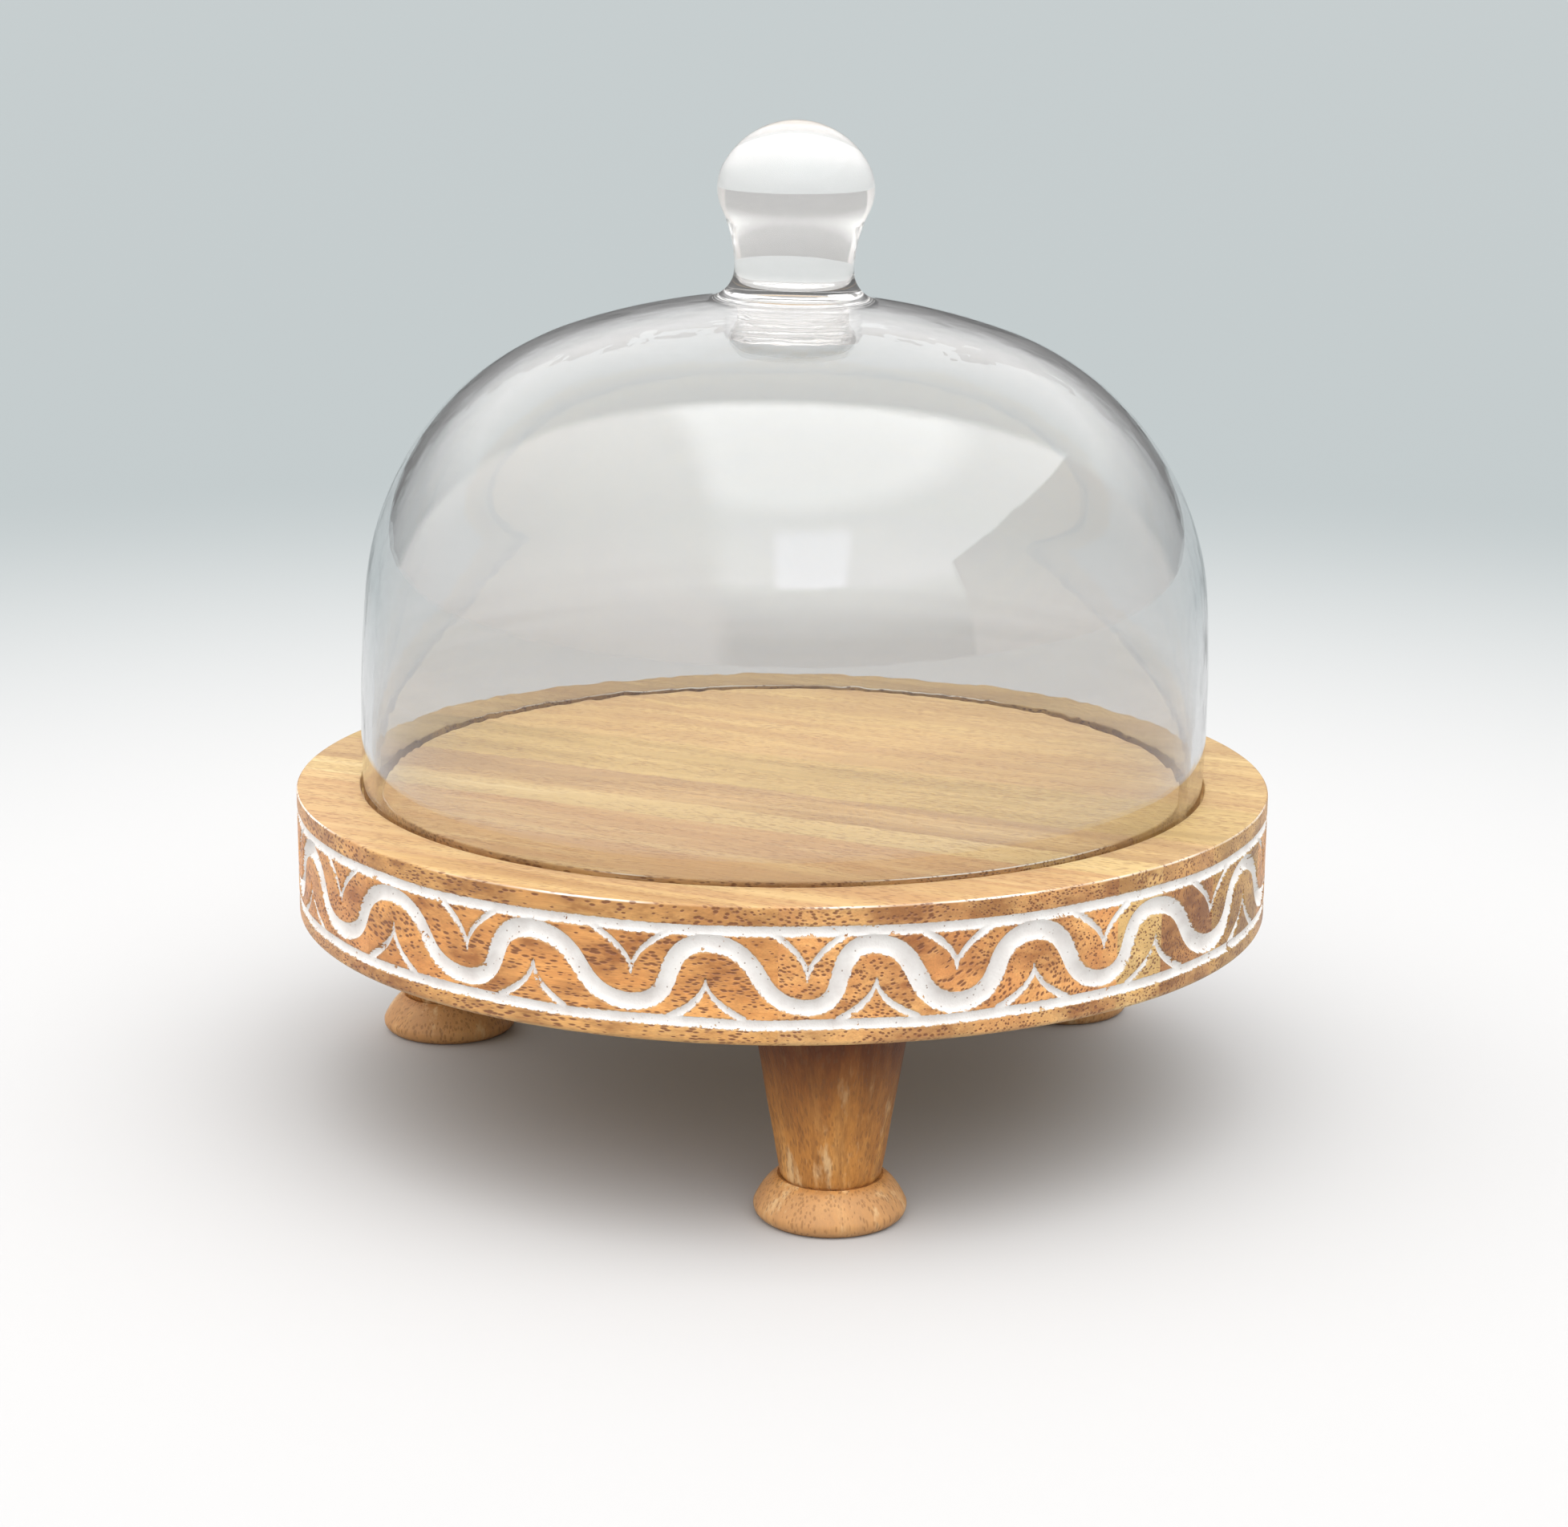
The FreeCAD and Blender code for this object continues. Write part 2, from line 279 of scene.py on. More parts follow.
def wood_colours(shader, along, tones, darkest):
    """Mango wood with its grain along local X; returns its colour, its pores and its fibres."""
    drift = shader.noise(along, (5, 22, 22), detail=2.0)
    sway = shader.math("MULTIPLY_ADD", drift, 0.022, -0.011)
    shift = shader.node("CombineXYZ", {"Y": sway, "Z": sway}).outputs[0]
    bent = shader.node("VectorMath", {0: along, 1: shift}, operation="ADD").outputs[0]
    figure = shader.noise(bent, (5, 62, 62), detail=4.0, roughness=0.6)
    stops = [(0.30 + 0.42 * place / (len(tones) - 1), tone) for place, tone in enumerate(tones)]
    colour = shader.ramp(figure, stops)
    streaks = shader.noise(bent, (13, 330, 330), detail=3.0, roughness=0.65)
    colour = shader.mix(shader.band(streaks, 0.44, 0.70, 0.0, 0.60), colour, (*darkest, 1.0))
    pale = shader.noise(bent, (8, 190, 190), detail=2.0)
    colour = shader.mix(shader.band(pale, 0.54, 0.78, 0.0, 0.45), colour, (*tones[0], 1.0))
    fibres = shader.noise(along, (90, 2600, 2600), detail=2.0, roughness=0.6)
    shades = shader.ramp(fibres, [(0.3, grey(0.55)), (0.7, grey(1.25))])
    colour = shader.mix(0.35, colour, shades, "MULTIPLY")
    figured = shader.noise(bent, (24, 620, 620), detail=3.0, roughness=0.7)
    colour = shader.mix(shader.band(figured, 0.50, 0.66, 0.0, 0.45), colour, (*darkest, 1.0))
    cells = shader.cells(bent, (300, 1050, 1050))
    crowding = shader.noise(bent, (14, 150, 150), detail=2.0)
    width = shader.band(crowding, 0.32, 0.58, 0.22, 0.52)
    pores = shader.math("SUBTRACT", 1.0, shader.band(shader.math("DIVIDE", cells, width), 0.50, 1.0))
    return colour, pores, fibres


def side_factor(shader):
    """0 on faces that look up or down and 1 on upright faces."""
    upward = shader.split(shader.coordinates("Normal"))[2]
    return shader.math("SUBTRACT", 1.0, shader.math("ABSOLUTE", upward))


STAVE_TONES = {
    1: ((0.544, 0.36, 0.148), (0.48, 0.296, 0.111), (0.368, 0.2, 0.07), (0.512, 0.328, 0.133)),
    2: ((0.576, 0.4, 0.181), (0.504, 0.328, 0.137), (0.416, 0.232, 0.092), (0.544, 0.368, 0.163)),
    3: ((0.64, 0.488, 0.244), (0.528, 0.368, 0.155), (0.48, 0.328, 0.133), (0.592, 0.432, 0.2)),
    4: ((0.52, 0.35, 0.15), (0.43, 0.27, 0.107), (0.33, 0.195, 0.08), (0.48, 0.316, 0.133)),
    5: ((0.504, 0.352, 0.141), (0.432, 0.288, 0.104), (0.336, 0.216, 0.074), (0.48, 0.328, 0.13)),
    6: ((0.52, 0.36, 0.148), (0.456, 0.296, 0.111), (0.368, 0.216, 0.081), (0.496, 0.336, 0.137)),
    7: ((0.536, 0.376, 0.163), (0.456, 0.304, 0.115), (0.36, 0.216, 0.081), (0.48, 0.32, 0.126)),
}

# Factors on the wood's colour round the rim
RIM_STAINS = {3: (1.0, 0.93, 0.84, 1), 4: (0.86, 0.64, 0.49, 1), 5: (0.84, 0.70, 0.54, 1)}
PLAIN_STAIN = (1.15, 0.88, 0.70, 1)
RIM_EDGE_STAIN = (1.03, 0.88, 0.76, 1)
MOTTLE = ((0.38, (0.66, 0.55, 0.46)), (0.48, (1.0, 0.98, 0.96)), (0.62, (1.30, 1.28, 1.24)))

# Colour of the painted highlight along the board's top arris
ARRIS_HIGHLIGHT_COLOUR = (0.85, 0.81, 0.73, 1)
BOARD_PORES = (0.155, 0.048, 0.014, 1)
LEG_PORES = (0.12, 0.052, 0.02, 1)
PAINT_GRIME = (0.20, 0.13, 0.09, 1)


def stained(shader, colour, side, place, stain):
    """The rim is stained and mottled, most between its two border lines, and its arris gets a painted
    highlight in patches.
    """
    depth = shader.math("SUBTRACT", BOARD_TOP, shader.split(place)[2])
    field = shader.span(depth, (5 * MM, 8 * MM), (32 * MM, 34 * MM))
    mottle = shader.noise(place, (45, 45, 90), detail=4.0, roughness=0.65)
    rim = shader.mix(field, RIM_EDGE_STAIN, stain)
    rim = shader.mix(1.0, rim, shader.ramp(mottle, MOTTLE), "MULTIPLY")
    colour = shader.mix(1.0, colour, shader.mix(side, (1, 1, 1, 1), rim), "MULTIPLY")
    # Painted highlight: a pale line along the top arris, in noisy patches, for light caught by the rounded
    # edge
    near_top = shader.band(depth, 0.9 * MM, MM, 1.0, 0.0)
    arris = shader.math("MULTIPLY", shader.span(side, (0.12, 0.30), (0.62, 0.85)), near_top)
    highlight_patches = shader.band(shader.noise(place, 11, detail=2.0), 0.49, 0.60)
    return shader.mix(shader.math("MULTIPLY", arris, highlight_patches), colour, ARRIS_HIGHLIGHT_COLOUR)


def painted_wood(number):
    """A stave: wood with its grain across the board, and white paint in the carving."""
    shader = new_shader(f"stave_{number}_wood")
    place = shader.coordinates()
    offset = (0.31 * number, 0.17 * number, 0.23 * number)
    along = shader.moved(place, rotation=(0, 0, math.radians(-GRAIN_DEGREES)))
    along = shader.moved(along, location=offset)
    tones = STAVE_TONES[number]
    side = side_factor(shader)
    colour, pores, fibres = wood_colours(shader, along, tones, tones[2])
    pores = shader.math("MULTIPLY", pores, shader.math("MULTIPLY_ADD", side, 0.50, 0.38))
    colour = stained(shader, colour, side, place, RIM_STAINS.get(number, PLAIN_STAIN))
    colour = shader.mix(pores, colour, BOARD_PORES)

    distance = shader.node("Attribute", {}, attribute_name="paint").outputs["Fac"]
    ragged = shader.math("MULTIPLY_ADD", shader.noise(place, 900, detail=3.0), 1.1, -0.55)
    chips = shader.band(shader.noise(place, 260, detail=4.0, roughness=0.7), 0.60, 0.70)
    edge = shader.math("ADD", distance, shader.math("MULTIPLY_ADD", chips, 1.3, ragged))
    paint = shader.band(edge, -0.25, 0.0, 1.0, 0.0)
    worn = shader.band(shader.noise(place, 480, detail=4.0, roughness=0.75), 0.66, 0.73)
    paint = shader.math("MULTIPLY", paint, shader.math("SUBTRACT", 1.0, worn))
    blotches = shader.noise(place, 160, detail=3.0)
    white = shader.ramp(blotches, [(0.25, (0.61, 0.58, 0.555)), (0.6, (0.73, 0.715, 0.69))])
    flecks = shader.band(shader.cells(place, (430, 430, 430)), 0.07, 0.13, 0.75, 0.0)
    white = shader.mix(flecks, white, PAINT_GRIME)
    colour = shader.mix(paint, colour, white)

    wood_height = shader.math("SUBTRACT", shader.math("MULTIPLY", fibres, 0.25), pores)
    paint_height = shader.math("MULTIPLY_ADD", shader.noise(place, 1400, detail=3.0), 0.7, 0.5)
    height = shader.mix(paint, wood_height, paint_height)
    roughness = shader.math("MULTIPLY_ADD", paint, 0.28, shader.math("MULTIPLY_ADD", fibres, 0.14, 0.34))
    return shader.finish(
        Base_Color=colour,
        Roughness=roughness,
        Normal=shader.bump(height, 0.00022, 0.8),
    )


def leg_wood(number):
    """A turned leg: upright grain, stained brown, with painted shade that is darkest under the board, and
    paler on the foot.
    """
    shader = new_shader(f"leg_wood_{number}")
    place = shader.coordinates()
    along = shader.moved(place, rotation=(0, math.radians(90), 0))
    along = shader.moved(along, location=(0.4 * number, 0.7, 0.2))
    tones = ((0.60, 0.31, 0.095), (0.48, 0.21, 0.048), (0.36, 0.145, 0.034), (0.55, 0.265, 0.07))
    colour, pores, fibres = wood_colours(shader, along, tones, (0.26, 0.11, 0.03))
    pores = shader.math("MULTIPLY", pores, 0.38)
    height = shader.split(place)[2]
    foot = shader.band(height, 10 * MM, 13 * MM, 1.0, 0.0)
    colour = shader.mix(shader.math("MULTIPLY", foot, 0.55), colour, (0.56, 0.325, 0.15, 1))
    scuffs = shader.noise(place, (160, 160, 40), detail=4.0, roughness=0.7)
    colour = shader.mix(shader.band(scuffs, 0.54, 0.72, 0.0, 0.6), colour, (0.70, 0.50, 0.27, 1))
    # Painted shade: the leg's colour darkens towards its top, where the board shades it
    painted_shade = shader.ramp(shader.band(height, 20 * MM, 58 * MM), [(0.0, grey(1.0)), (1.0, (0.26, 0.16, 0.08))])
    colour = shader.mix(1.0, colour, painted_shade, "MULTIPLY")
    colour = shader.mix(pores, colour, LEG_PORES)
    relief = shader.math("SUBTRACT", shader.math("MULTIPLY", fibres, 0.3), pores)
    return shader.finish(
        Base_Color=colour,
        Specular_IOR_Level=0.25,
        Roughness=shader.math("MULTIPLY_ADD", fibres, 0.16, 0.36),
        Normal=shader.bump(relief, 0.0002, 0.8),
    )


# ---------------------------------------------------------------- carved band


def hand_drawn(turns, seed, size):
    """A smooth wander that repeats round the rim, with two random values to each wave."""
    count = 2 * WAVE_COUNT
    knots = np.random.default_rng(seed).uniform(-size, size, count)
    place = np.asarray(turns) * 2
    before = np.floor(place).astype(int)
    blend = (1 - np.cos((place - before) * math.pi)) / 2
    return knots[before % count] * (1 - blend) + knots[(before + 1) % count] * blend


def wave_azimuth(turns):
    """Degrees round the rim of a place counted in waves, with the carver's drift."""
    plain = WAVE_AZIMUTH + 360 / WAVE_COUNT * np.asarray(turns)
    return plain + WAVE_DRIFT * np.cos(np.radians(3 * (plain + 20.7))) + hand_drawn(turns, 3, 0.9)


def arc_length(azimuth):
    """Millimetres along the rim."""
    return np.radians(azimuth) * BOARD_RADIUS / MM


def ribbon_line(turns):
    """Centre line of the wave, as arc length and depth, with broad crests and steep flanks."""
    phase = 2 * math.pi * np.asarray(turns)
    swing = turns + (0.24 * np.sin(2 * phase) - 0.10 * (np.cos(phase) - 1)) / (2 * math.pi)
    middle = (CREST_DEPTH + TROUGH_DEPTH) / 2
    reach = (TROUGH_DEPTH - CREST_DEPTH) / 2 + hand_drawn(turns, 5, 0.5)
    return arc_length(wave_azimuth(swing)), middle - reach * np.cos(phase)


def nearest(points_s, points_d, line_s, line_d, half_widths):
    """Signed distance from each point to a brush line of varying width, and that width."""
    across = np.hypot(points_s[..., None] - line_s, points_d[..., None] - line_d)
    edge = across - half_widths
    index = edge.argmin(axis=-1)
    return np.take_along_axis(edge, index[..., None], -1)[..., 0], half_widths[index]


def gouge(distance, half_width, sink):
    """Depth of a round-bottomed cut, from the signed distance to its edge."""
    return sink * np.clip(1 - (1 + np.minimum(distance, 0) / half_width) ** 3, 0, 1)


def dart_arms(turns, dart, seed):
    """The two curved arms of a dart: arc length, depth and half width of each."""
    rng = np.random.default_rng(seed)
    middle = float(ribbon_line(np.array([turns]))[0][0]) + rng.uniform(-0.7, 0.7)
    tip = dart["tip"] + rng.uniform(-1.0, 1.0)
    lean = rng.uniform(-0.8, 0.8)
    rise = np.linspace(0, 1, 26)
    arms = []
    for side in (-1, 1):
        spread = dart["spread"] * rng.uniform(0.85, 1.1)
        s = middle + lean * (1 - rise) + side * spread * rise ** 1.9
        d = tip + (dart["base"] - tip) * rise ** 0.92
        arms.append((s, d, 0.38 + rng.uniform(0.65, 1.05) * rise ** 0.6))
    return arms


def carve(azimuths, depths):
    """Signed distance to the painted cuts and the depth of cut, over a grid of azimuths and depths."""
    s = arc_length(azimuths)[None, :] + 0 * depths[:, None]
    d = depths[:, None] + 0 * s
    edge = np.full(s.shape, PAINT_FAR)
    sink = np.zeros(s.shape)

    def cut(columns, line_s, line_d, widths, depth):
        if not columns.any():
            return
        distance, width = nearest(s[:, columns], d[:, columns], line_s, line_d, widths)
        edge[:, columns] = np.minimum(edge[:, columns], distance)
        sink[:, columns] = np.maximum(sink[:, columns], gouge(distance, width, depth))

    for number, middle in enumerate(LINE_DEPTHS):
        wander = hand_drawn(azimuths * WAVE_COUNT / 360, 11 + number, 0.25)
        distance = np.abs(d - middle - wander) - LINE_HALF_WIDTH
        edge = np.minimum(edge, distance)
        sink = np.maximum(sink, gouge(distance, LINE_HALF_WIDTH, LINE_SINK))

    for wave in range(-1, WAVE_COUNT + 1):
        turns = np.linspace(wave - 0.15, wave + 1.15, 84)
        line_s, line_d = ribbon_line(turns)
        widths = RIBBON_HALF_WIDTH + hand_drawn(turns, 7, 0.35)
        columns = (s[0] > line_s.min() - 1) & (s[0] < line_s.max() + 1)
        cut(columns, line_s, line_d, widths, RIBBON_SINK)
        for turn, dart, seed in ((wave, LOWER_DART, 40), (wave + 0.5, UPPER_DART, 80)):
            for arm_s, arm_d, widths in dart_arms(turn, dart, seed + wave % WAVE_COUNT):
                columns = (s[0] > arm_s.min() - 4) & (s[0] < arm_s.max() + 4)
                cut(columns, arm_s, arm_d, widths, DART_SINK)
    return edge, sink


# ---------------------------------------------------------------- board


def board_rows():
    """The board's outline from the serving face, over the groove and the rim, to the underside."""
    inner, outer = GROOVE_RADII
    top, floor = BOARD_TOP, BOARD_TOP - GROOVE_DEPTH
    wear = EDGE_WEAR
    rows = [(inner - 3 * wear, top), (inner - wear, top)]
    rows += arc_points((inner - wear, top - wear), rows[-1], (inner, top - wear), 3)
    rows += [(inner, floor + wear), (inner + wear, floor), (outer - wear, floor), (outer, floor + wear)]
    rows += [(outer, top - wear)]
    rows += arc_points((outer + wear, top - wear), rows[-1], (outer + wear, top), 3)
    arris = BOARD_RADIUS - TOP_ARRIS
    rows += straight_points(rows[-1], (arris, top), 6)
    rows += arc_points((arris, top - TOP_ARRIS), rows[-1], (BOARD_RADIUS, top - TOP_ARRIS), 4)
    low = BOARD_UNDERSIDE + LOWER_ROUND
    steps = round((rows[-1][1] - low) / (BAND_STEP * MM))
    rows += straight_points(rows[-1], (BOARD_RADIUS, low), steps)
    end = (BOARD_RADIUS - LOWER_ROUND, BOARD_UNDERSIDE)
    rows += arc_points((BOARD_RADIUS - LOWER_ROUND, low), rows[-1], end, 8)
    return rows + [(end[0] - 4 * MM, BOARD_UNDERSIDE)]


def leg_centres():
    """The axis of each leg, from the middle of its CAD box."""
    boxes = {name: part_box(f"leg_{name}") for name in LEG_NAMES}
    return {name: ((low[0] + high[0]) / 2, (low[1] + high[1]) / 2) for name, (low, high) in boxes.items()}


def add_insert_hole(shell, centre):
    """A stepped, closed hole in the underside; returns the edges of its mouth."""
    count = 48
    rings = []
    for radius, rise in INSERT_HOLE:
        angles = [2 * math.pi * step / count for step in range(count)]
        rings.append([
            shell.verts.new((
                centre[0] + radius * MM * math.cos(angle),
                centre[1] + radius * MM * math.sin(angle),
                BOARD_UNDERSIDE + rise * MM,
            ))
            for angle in angles
        ])
    for lower, upper in zip(rings, rings[1:]):
        for step in range(count):
            following = (step + 1) % count
            shell.faces.new((lower[step], lower[following], upper[following], upper[step]))
    shell.faces.new(rings[-1])
    mouth = rings[0]
    return [shell.edges.get((a, b)) for a, b in zip(mouth, mouth[1:] + mouth[:1])]


def board_shell():
    """The whole board as one closed, carved mesh, with its distance to the paint at every point."""
    rows = board_rows()
    radii = np.array([radius for radius, _ in rows])
    heights = np.array([height for _, height in rows])
    azimuths = np.linspace(0, 360, COLUMNS, endpoint=False)
    on_rim = np.abs(radii - BOARD_RADIUS) < 1e-6
    edge = np.full((len(rows), COLUMNS), PAINT_FAR)
    sink = np.zeros((len(rows), COLUMNS))
    edge[on_rim], sink[on_rim] = carve(azimuths, (BOARD_TOP - heights[on_rim]) / MM)
    points = ring_points(radii[:, None] - sink * MM, heights, COLUMNS)

    mesh = bpy.data.meshes.new("board_shell")
    mesh.from_pydata(points.tolist(), [], ring_faces(len(rows), COLUMNS).tolist())
    mesh.attributes.new("paint", "FLOAT", "POINT").data.foreach_set("value", edge.ravel())
    shell = bmesh.new()
    shell.from_mesh(mesh)
    bpy.data.meshes.remove(mesh)
    shell.verts.ensure_lookup_table()
    shell.faces.new([shell.verts[column] for column in range(COLUMNS)])
    underside = [shell.verts[-COLUMNS + column] for column in range(COLUMNS)]
    loops = [shell.edges.get((a, b)) for a, b in zip(underside, underside[1:] + underside[:1])]
    layer = shell.verts.layers.float["paint"]
    for centre in leg_centres().values():
        loops += add_insert_hole(shell, centre)
    bmesh.ops.triangle_fill(shell, edges=loops, use_beauty=True)
    shell.verts.ensure_lookup_table()
    for vert in shell.verts[len(points):]:
        vert[layer] = PAINT_FAR
    bmesh.ops.recalc_face_normals(shell, faces=shell.faces)
    return shell


def cut_at(solid, distance, keep_back):
    """Cuts a closed mesh along a glue joint, keeps one side and closes it."""
    angle = math.radians(GRAIN_DEGREES)
    across = Vector((-math.sin(angle), math.cos(angle), 0))
    everything = solid.verts[:] + solid.edges[:] + solid.faces[:]
    result = bmesh.ops.bisect_plane(
        solid, geom=everything, plane_co=across * distance, plane_no=across,
        clear_inner=keep_back, clear_outer=not keep_back,
    )
    rim = [item for item in result["geom_cut"] if isinstance(item, bmesh.types.BMEdge)]
    bmesh.ops.edgenet_fill(solid, edges=rim)


def make_staves():
    """Splits the carved board into its staves, front to back."""
    rest = board_shell()
    for number in range(1, STAVE_COUNT + 1):
        if number < STAVE_COUNT:
            stave = rest.copy()
            cut_at(stave, STAVE_JOINTS[number - 1], keep_back=False)
            cut_at(rest, STAVE_JOINTS[number - 1], keep_back=True)
        else:
            stave = rest
        bmesh.ops.recalc_face_normals(stave, faces=stave.faces)
        mesh = bpy.data.meshes.new(f"carved_stave_{number}")
        stave.to_mesh(mesh)
        stave.free()
        shade(mesh, 42)
        mesh.materials.append(painted_wood(number))
        new_piece(f"carved_stave_{number}", mesh, "board", [f"stave_{number}"])


# ---------------------------------------------------------------- legs and screws

SHANK_TOP_RADIUS = 22.4 * MM
SHANK_FOOT_RADIUS = 14.5 * MM
FOOT_HEIGHT = 12.0 * MM
FOOT_RADIUS = 21.8 * MM
FOOT_WIDEST_HEIGHT = 3.7 * MM
FOOT_BASE_RADIUS = 20.6 * MM
FOOT_SHOULDER_RADIUS = 15.2 * MM
FOOT_LOW_BULGE = (21.45 * MM, 1.5 * MM)
FOOT_HIGH_BULGE = (18.8 * MM, 8.8 * MM)
NECK_CUT_RADIUS = 13.9 * MM
SCREW_HOLE_RADIUS = 3.65 * MM
SCREW_HOLE_FLOOR = 28.9 * MM


def curve_through(start, middle, end, count):
    """Points of a smooth curve from start to end that bulges through a middle point, without its start."""
    control = [2 * m - (a + b) / 2 for a, m, b in zip(start, middle, end)]
    steps = [(step + 1) / count for step in range(count)]
    return [
        tuple((1 - t) ** 2 * a + 2 * t * (1 - t) * c + t * t * b for a, c, b in zip(start, control, end))
        for t in steps
    ]


def leg_outline():
    """From the middle of the foot's base, up the outside, and down the screw hole."""
    top = BOARD_UNDERSIDE
    edge = 0.6 * MM
    outline = [(0, 0), (FOOT_BASE_RADIUS - 0.8 * MM, 0)]
    widest = (FOOT_RADIUS, FOOT_WIDEST_HEIGHT)
    outline += curve_through(outline[-1], FOOT_LOW_BULGE, widest, 8)
    outline += curve_through(widest, FOOT_HIGH_BULGE, (FOOT_SHOULDER_RADIUS, FOOT_HEIGHT), 14)
    outline += [(NECK_CUT_RADIUS, FOOT_HEIGHT - 0.5 * MM)]
    outline += straight_points(outline[-1], (SHANK_FOOT_RADIUS, FOOT_HEIGHT + 0.6 * MM), 2)
    rim = SHANK_TOP_RADIUS - 0.1 * MM
    outline += straight_points(outline[-1], (rim, top - edge), 40)
    outline += arc_points((rim - edge, top - edge), outline[-1], (rim - edge, top), 3)
    outline += straight_points(outline[-1], (SCREW_HOLE_RADIUS, top), 4)
    return outline + [(SCREW_HOLE_RADIUS, SCREW_HOLE_FLOOR), (0, SCREW_HOLE_FLOOR)]


def make_legs():
    """Three turned legs, each a little uneven as hand turning leaves it."""
    for number, (name, centre) in enumerate(leg_centres().items()):

        def worn(point, seed=number):
            sample = Vector((point.x, point.y, point.z)) * 70 + Vector((9.0 * seed, 0, 0))
            slack = 0.12 * MM * (noise.noise(sample) - 1)
            radius = math.hypot(point.x, point.y)
            on_side = radius > SCREW_HOLE_RADIUS * 1.5 and 0 < point.z < BOARD_UNDERSIDE - MM
            scale = 1 + slack / radius if on_side else 1
            return Vector((point.x * scale + centre[0], point.y * scale + centre[1], point.z))

        mesh = turned_mesh(f"turned_leg_{name}", [leg_outline()], 144, bend=worn)
        outward(mesh)
        shade(mesh, 35)
        mesh.materials.append(leg_wood(number))
        new_piece(f"turned_leg_{name}", mesh, f"leg_{name}", [f"leg_{name}"])


BOLT_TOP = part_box("hanger_bolt_front")[1][2]
BOLT_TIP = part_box("hanger_bolt_front")[0][2]


def zinc():
    shader = new_shader("zinc_plate")
    place = shader.coordinates()
    spangle = shader.noise(place, 500, detail=3.0)
    tint = shader.ramp(spangle, [(0.3, (0.42, 0.42, 0.43)), (0.7, (0.62, 0.62, 0.61))])
    rough = shader.math("MULTIPLY_ADD", spangle, 0.25, 0.22)
    return shader.finish(Base_Color=tint, Metallic=1.0, Roughness=rough,
                         Normal=shader.bump(shader.noise(place, 2600), 0.00003))


def brass():
    shader = new_shader("insert_brass")
    place = shader.coordinates()
    tarnish = shader.noise(place, 350, detail=3.0)
    tint = shader.ramp(tarnish, [(0.3, (0.42, 0.28, 0.11)), (0.7, (0.68, 0.49, 0.20))])
    rough = shader.math("MULTIPLY_ADD", tarnish, 0.3, 0.2)
    return shader.finish(Base_Color=tint, Metallic=1.0, Roughness=rough,
                         Normal=shader.bump(shader.noise(place, 2200), 0.00003))


def thread_radius(height, angle):
    """Radius of the bolt: machine thread above the board's underside, wood screw below it."""
    machine = height > BOARD_UNDERSIDE
    pitch = (1.25 if machine else 2.6) * MM
    crest = (4.0 if machine else 3.6) * MM
    cut = (0.7 if machine else 0.9) * MM
    place = ((height / pitch - angle / (2 * math.pi)) % 1.0) * 2 - 1
    ridge = 1 - abs(place) if machine else (1 - abs(place)) ** 2
    radius = crest - cut * (1 - ridge)
    taper = min(1.0, (height - BOLT_TIP) / (6 * MM))
    chamfer = min(1.0, 0.8 + (BOLT_TOP - height) / (4 * MM))
    shoulder = min(1.0, 0.82 + abs(height - BOARD_UNDERSIDE) / (4 * MM))
    return radius * taper * chamfer * shoulder


def make_bolts(material):
    """Hanger bolts with helical threads."""
    columns, step = 40, 0.16 * MM
    rows = int((BOLT_TOP - BOLT_TIP) / step)
    heights = np.linspace(BOLT_TIP, BOLT_TOP, rows + 1)
    angles = np.linspace(0, 2 * math.pi, columns, endpoint=False)
    radii = [[thread_radius(height, angle) for angle in angles] for height in heights[1:]]
    faces = ring_faces(rows, columns).tolist()
    faces.append(list(range((rows - 1) * columns, rows * columns)))
    faces.append(list(range(columns))[::-1])
    for name, centre in leg_centres().items():
        points = ring_points(radii, heights[1:], columns) + np.array((*centre, 0.0))
        mesh = bpy.data.meshes.new(f"threaded_bolt_{name}")
        mesh.from_pydata(points.tolist(), [], faces)
        outward(mesh)
        shade(mesh, 50)
        mesh.materials.append(material)
        new_piece(f"threaded_bolt_{name}", mesh, f"bolt_{name}", [f"hanger_bolt_{name}"])


def finish_inserts(material):
    """The CAD inserts keep their shape and get a brass finish."""
    for name in LEG_NAMES:
        node = bpy.data.objects[f"threaded_insert_{name}"]
        for slot in node.material_slots:
            slot.material = material


# ---------------------------------------------------------------- glass

DOME_RADIUS = 130.4 * MM
DOME_WIDEST = BOARD_TOP + 20.6 * MM
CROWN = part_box("glass_dome")[1][2]
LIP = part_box("glass_dome")[0][2]
WALL_ARC = 450.0 * MM
SHOULDER_ARC = 90.6 * MM
CROWN_ARC = 210.0 * MM
GLASS = 3.5 * MM

KNOB_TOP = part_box("glass_knob")[1][2]
KNOB_TOP_ARC = 25.1 * MM
KNOB_SIDE_ARC = 14.6 * MM
KNOB_SIDE_OFFSET = 9.3 * MM
NECK_RADIUS = 18.3 * MM
NECK_Z = CROWN + 7.0 * MM
KNOB_GLASS = 3.0 * MM
KNOB_START = CROWN + 0.8 * MM
KNOB_FLOOR = CROWN + 1.0 * MM
COLLAR_RADII = (18.6 * MM, 20.6 * MM)
COLLAR_LENGTH = 9.5 * MM
COLLAR_RIBS = 5
COLLAR_RIB = 0.6 * MM

GLASS_TINT = (0.895, 0.895, 0.895, 1)
# Darker tint near the dome's lip: a painted dark reflection of the room
LIP_DARK_REFLECTION_TINT = (0.72, 0.72, 0.715, 1)
KNOB_TINT = (0.875, 0.875, 0.87, 1)
DOME_CLARITY = 1.0
KNOB_CLARITY = 0.89
DOME_REFRACTION = 1.6
KNOB_REFRACTION = 1.16

GLASS_LEAN = math.radians(0.95)
LEAN_DIRECTION = Vector((math.cos(math.radians(-6.9)), math.sin(math.radians(-6.9)), 0))


def towards(centre, target, distance):
    length = math.dist(centre, target)
    return tuple(a + (b - a) * distance / length for a, b in zip(centre, target))


